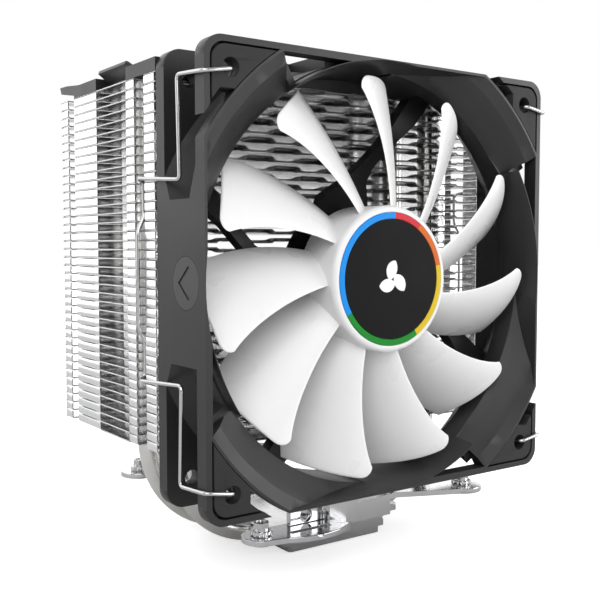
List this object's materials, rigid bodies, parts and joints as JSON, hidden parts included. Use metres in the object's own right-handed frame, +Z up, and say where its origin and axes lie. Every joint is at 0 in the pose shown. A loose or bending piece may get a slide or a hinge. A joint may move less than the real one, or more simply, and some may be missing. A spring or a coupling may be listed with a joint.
{
  "type": "tower cpu cooler",
  "caption": "Single-tower CPU cooler: a finned stack on bent heat pipes over a metal base, cooled by an axial fan held with wire clips.",
  "frame": {"origin": "centre of the contact face under the base", "axes": "+Z up, away from the processor; +Y along the air flow, from the fan into the fins; +X to the right as seen from the fan"},
  "size_m": [0.1228, 0.0968, 0.1418],
  "materials": {
    "nickel": "satin nickel plating",
    "hardware": "polished nickel plating",
    "cover": "semi-gloss black",
    "frame": "fine matte charcoal",
    "pad": "matte",
    "badge": "matte",
    "bearing": "oiled sintered bronze",
    "stator_steel": "plain laminated steel",
    "winding": "enamelled copper wire",
    "board": "solder mask",
    "impeller": "semi-gloss white",
    "ring": "five colours in sectors",
    "disc": "satin black",
    "emblem": "white print",
    "yoke": "zinc plated",
    "magnet": "bonded ferrite",
    "fins": "bright sheet"
  },
  "bodies": {
    "cooler": {"contact_block": "nickel", "base_clamp": "nickel", "heat_pipe_front": "nickel", "heat_pipe_middle": "nickel", "heat_pipe_rear": "nickel", "mount_arm_front": "hardware", "mount_arm_rear": "hardware", "cross_bar_front": "hardware", "cross_bar_rear": "hardware", "bar_coupling_screws": "hardware", "base_screws": "hardware", "top_cover": "cover", "fan_frame": "frame", "motor_cap": "frame", "corner_pad_top_left": "pad", "corner_pad_top_right": "pad", "corner_pad_bottom_right": "pad", "corner_pad_bottom_left": "pad", "flow_badge": "badge", "bearing_sleeve": "bearing", "stator_core": "stator_steel", "stator_coils": "winding", "motor_board": "board", "fin_pair_01": "fins", "fin_pair_02": "fins", "fin_pair_03": "fins", "fin_pair_04": "fins", "fin_pair_05": "fins", "fin_pair_06": "fins", "fin_pair_07": "fins", "fin_pair_08": "fins", "fin_pair_09": "fins", "fin_pair_10": "fins", "fin_pair_11": "fins", "fin_pair_12": "fins", "fin_pair_13": "fins", "fin_pair_14": "fins", "fin_pair_15": "fins", "fin_pair_16": "fins", "fin_pair_17": "fins", "fin_pair_18": "fins", "fin_pair_19": "fins", "fin_pair_20": "fins"},
    "rotor": {"impeller": "impeller", "hub_ring": "ring", "hub_disc": "disc", "hub_emblem": "emblem", "rotor_yoke": "yoke", "rotor_magnet": "magnet", "fan_shaft": "hardware", "shaft_clip": "impeller"},
    "nut_front_left": {"mount_nut_front_left": "hardware"},
    "nut_front_right": {"mount_nut_front_right": "hardware"},
    "nut_rear_left": {"mount_nut_rear_left": "hardware"},
    "nut_rear_right": {"mount_nut_rear_right": "hardware"},
    "clip_left": {"wire_clip_left": "hardware"},
    "clip_right": {"wire_clip_right": "hardware"}
  },
  "joints": [
    {"name": "fan_spin", "type": "hinge", "parent": "cooler", "child": "rotor", "pos_m": [0, -0.048, 0.0815], "axis": [0, 1, 0], "continuous": true},
    {"name": "nut_front_left_turn", "type": "hinge", "parent": "cooler", "child": "nut_front_left", "pos_m": [-0.0375, -0.0375, 0.014], "axis": [0, 0, 1], "continuous": true},
    {"name": "nut_front_right_turn", "type": "hinge", "parent": "cooler", "child": "nut_front_right", "pos_m": [0.0375, -0.0375, 0.014], "axis": [0, 0, 1], "continuous": true},
    {"name": "nut_rear_left_turn", "type": "hinge", "parent": "cooler", "child": "nut_rear_left", "pos_m": [-0.0375, 0.0375, 0.014], "axis": [0, 0, 1], "continuous": true},
    {"name": "nut_rear_right_turn", "type": "hinge", "parent": "cooler", "child": "nut_rear_right", "pos_m": [0.0375, 0.0375, 0.014], "axis": [0, 0, 1], "continuous": true},
    {"name": "clip_left_swing", "type": "hinge", "parent": "cooler", "child": "clip_left", "pos_m": [-0.0525, -0.0489, 0.0815], "axis": [0, 0, 1], "range_deg": [0, 15]},
    {"name": "clip_right_swing", "type": "hinge", "parent": "cooler", "child": "clip_right", "pos_m": [0.0525, -0.0489, 0.0815], "axis": [0, 0, 1], "range_deg": [-15, 0]}
  ]
}
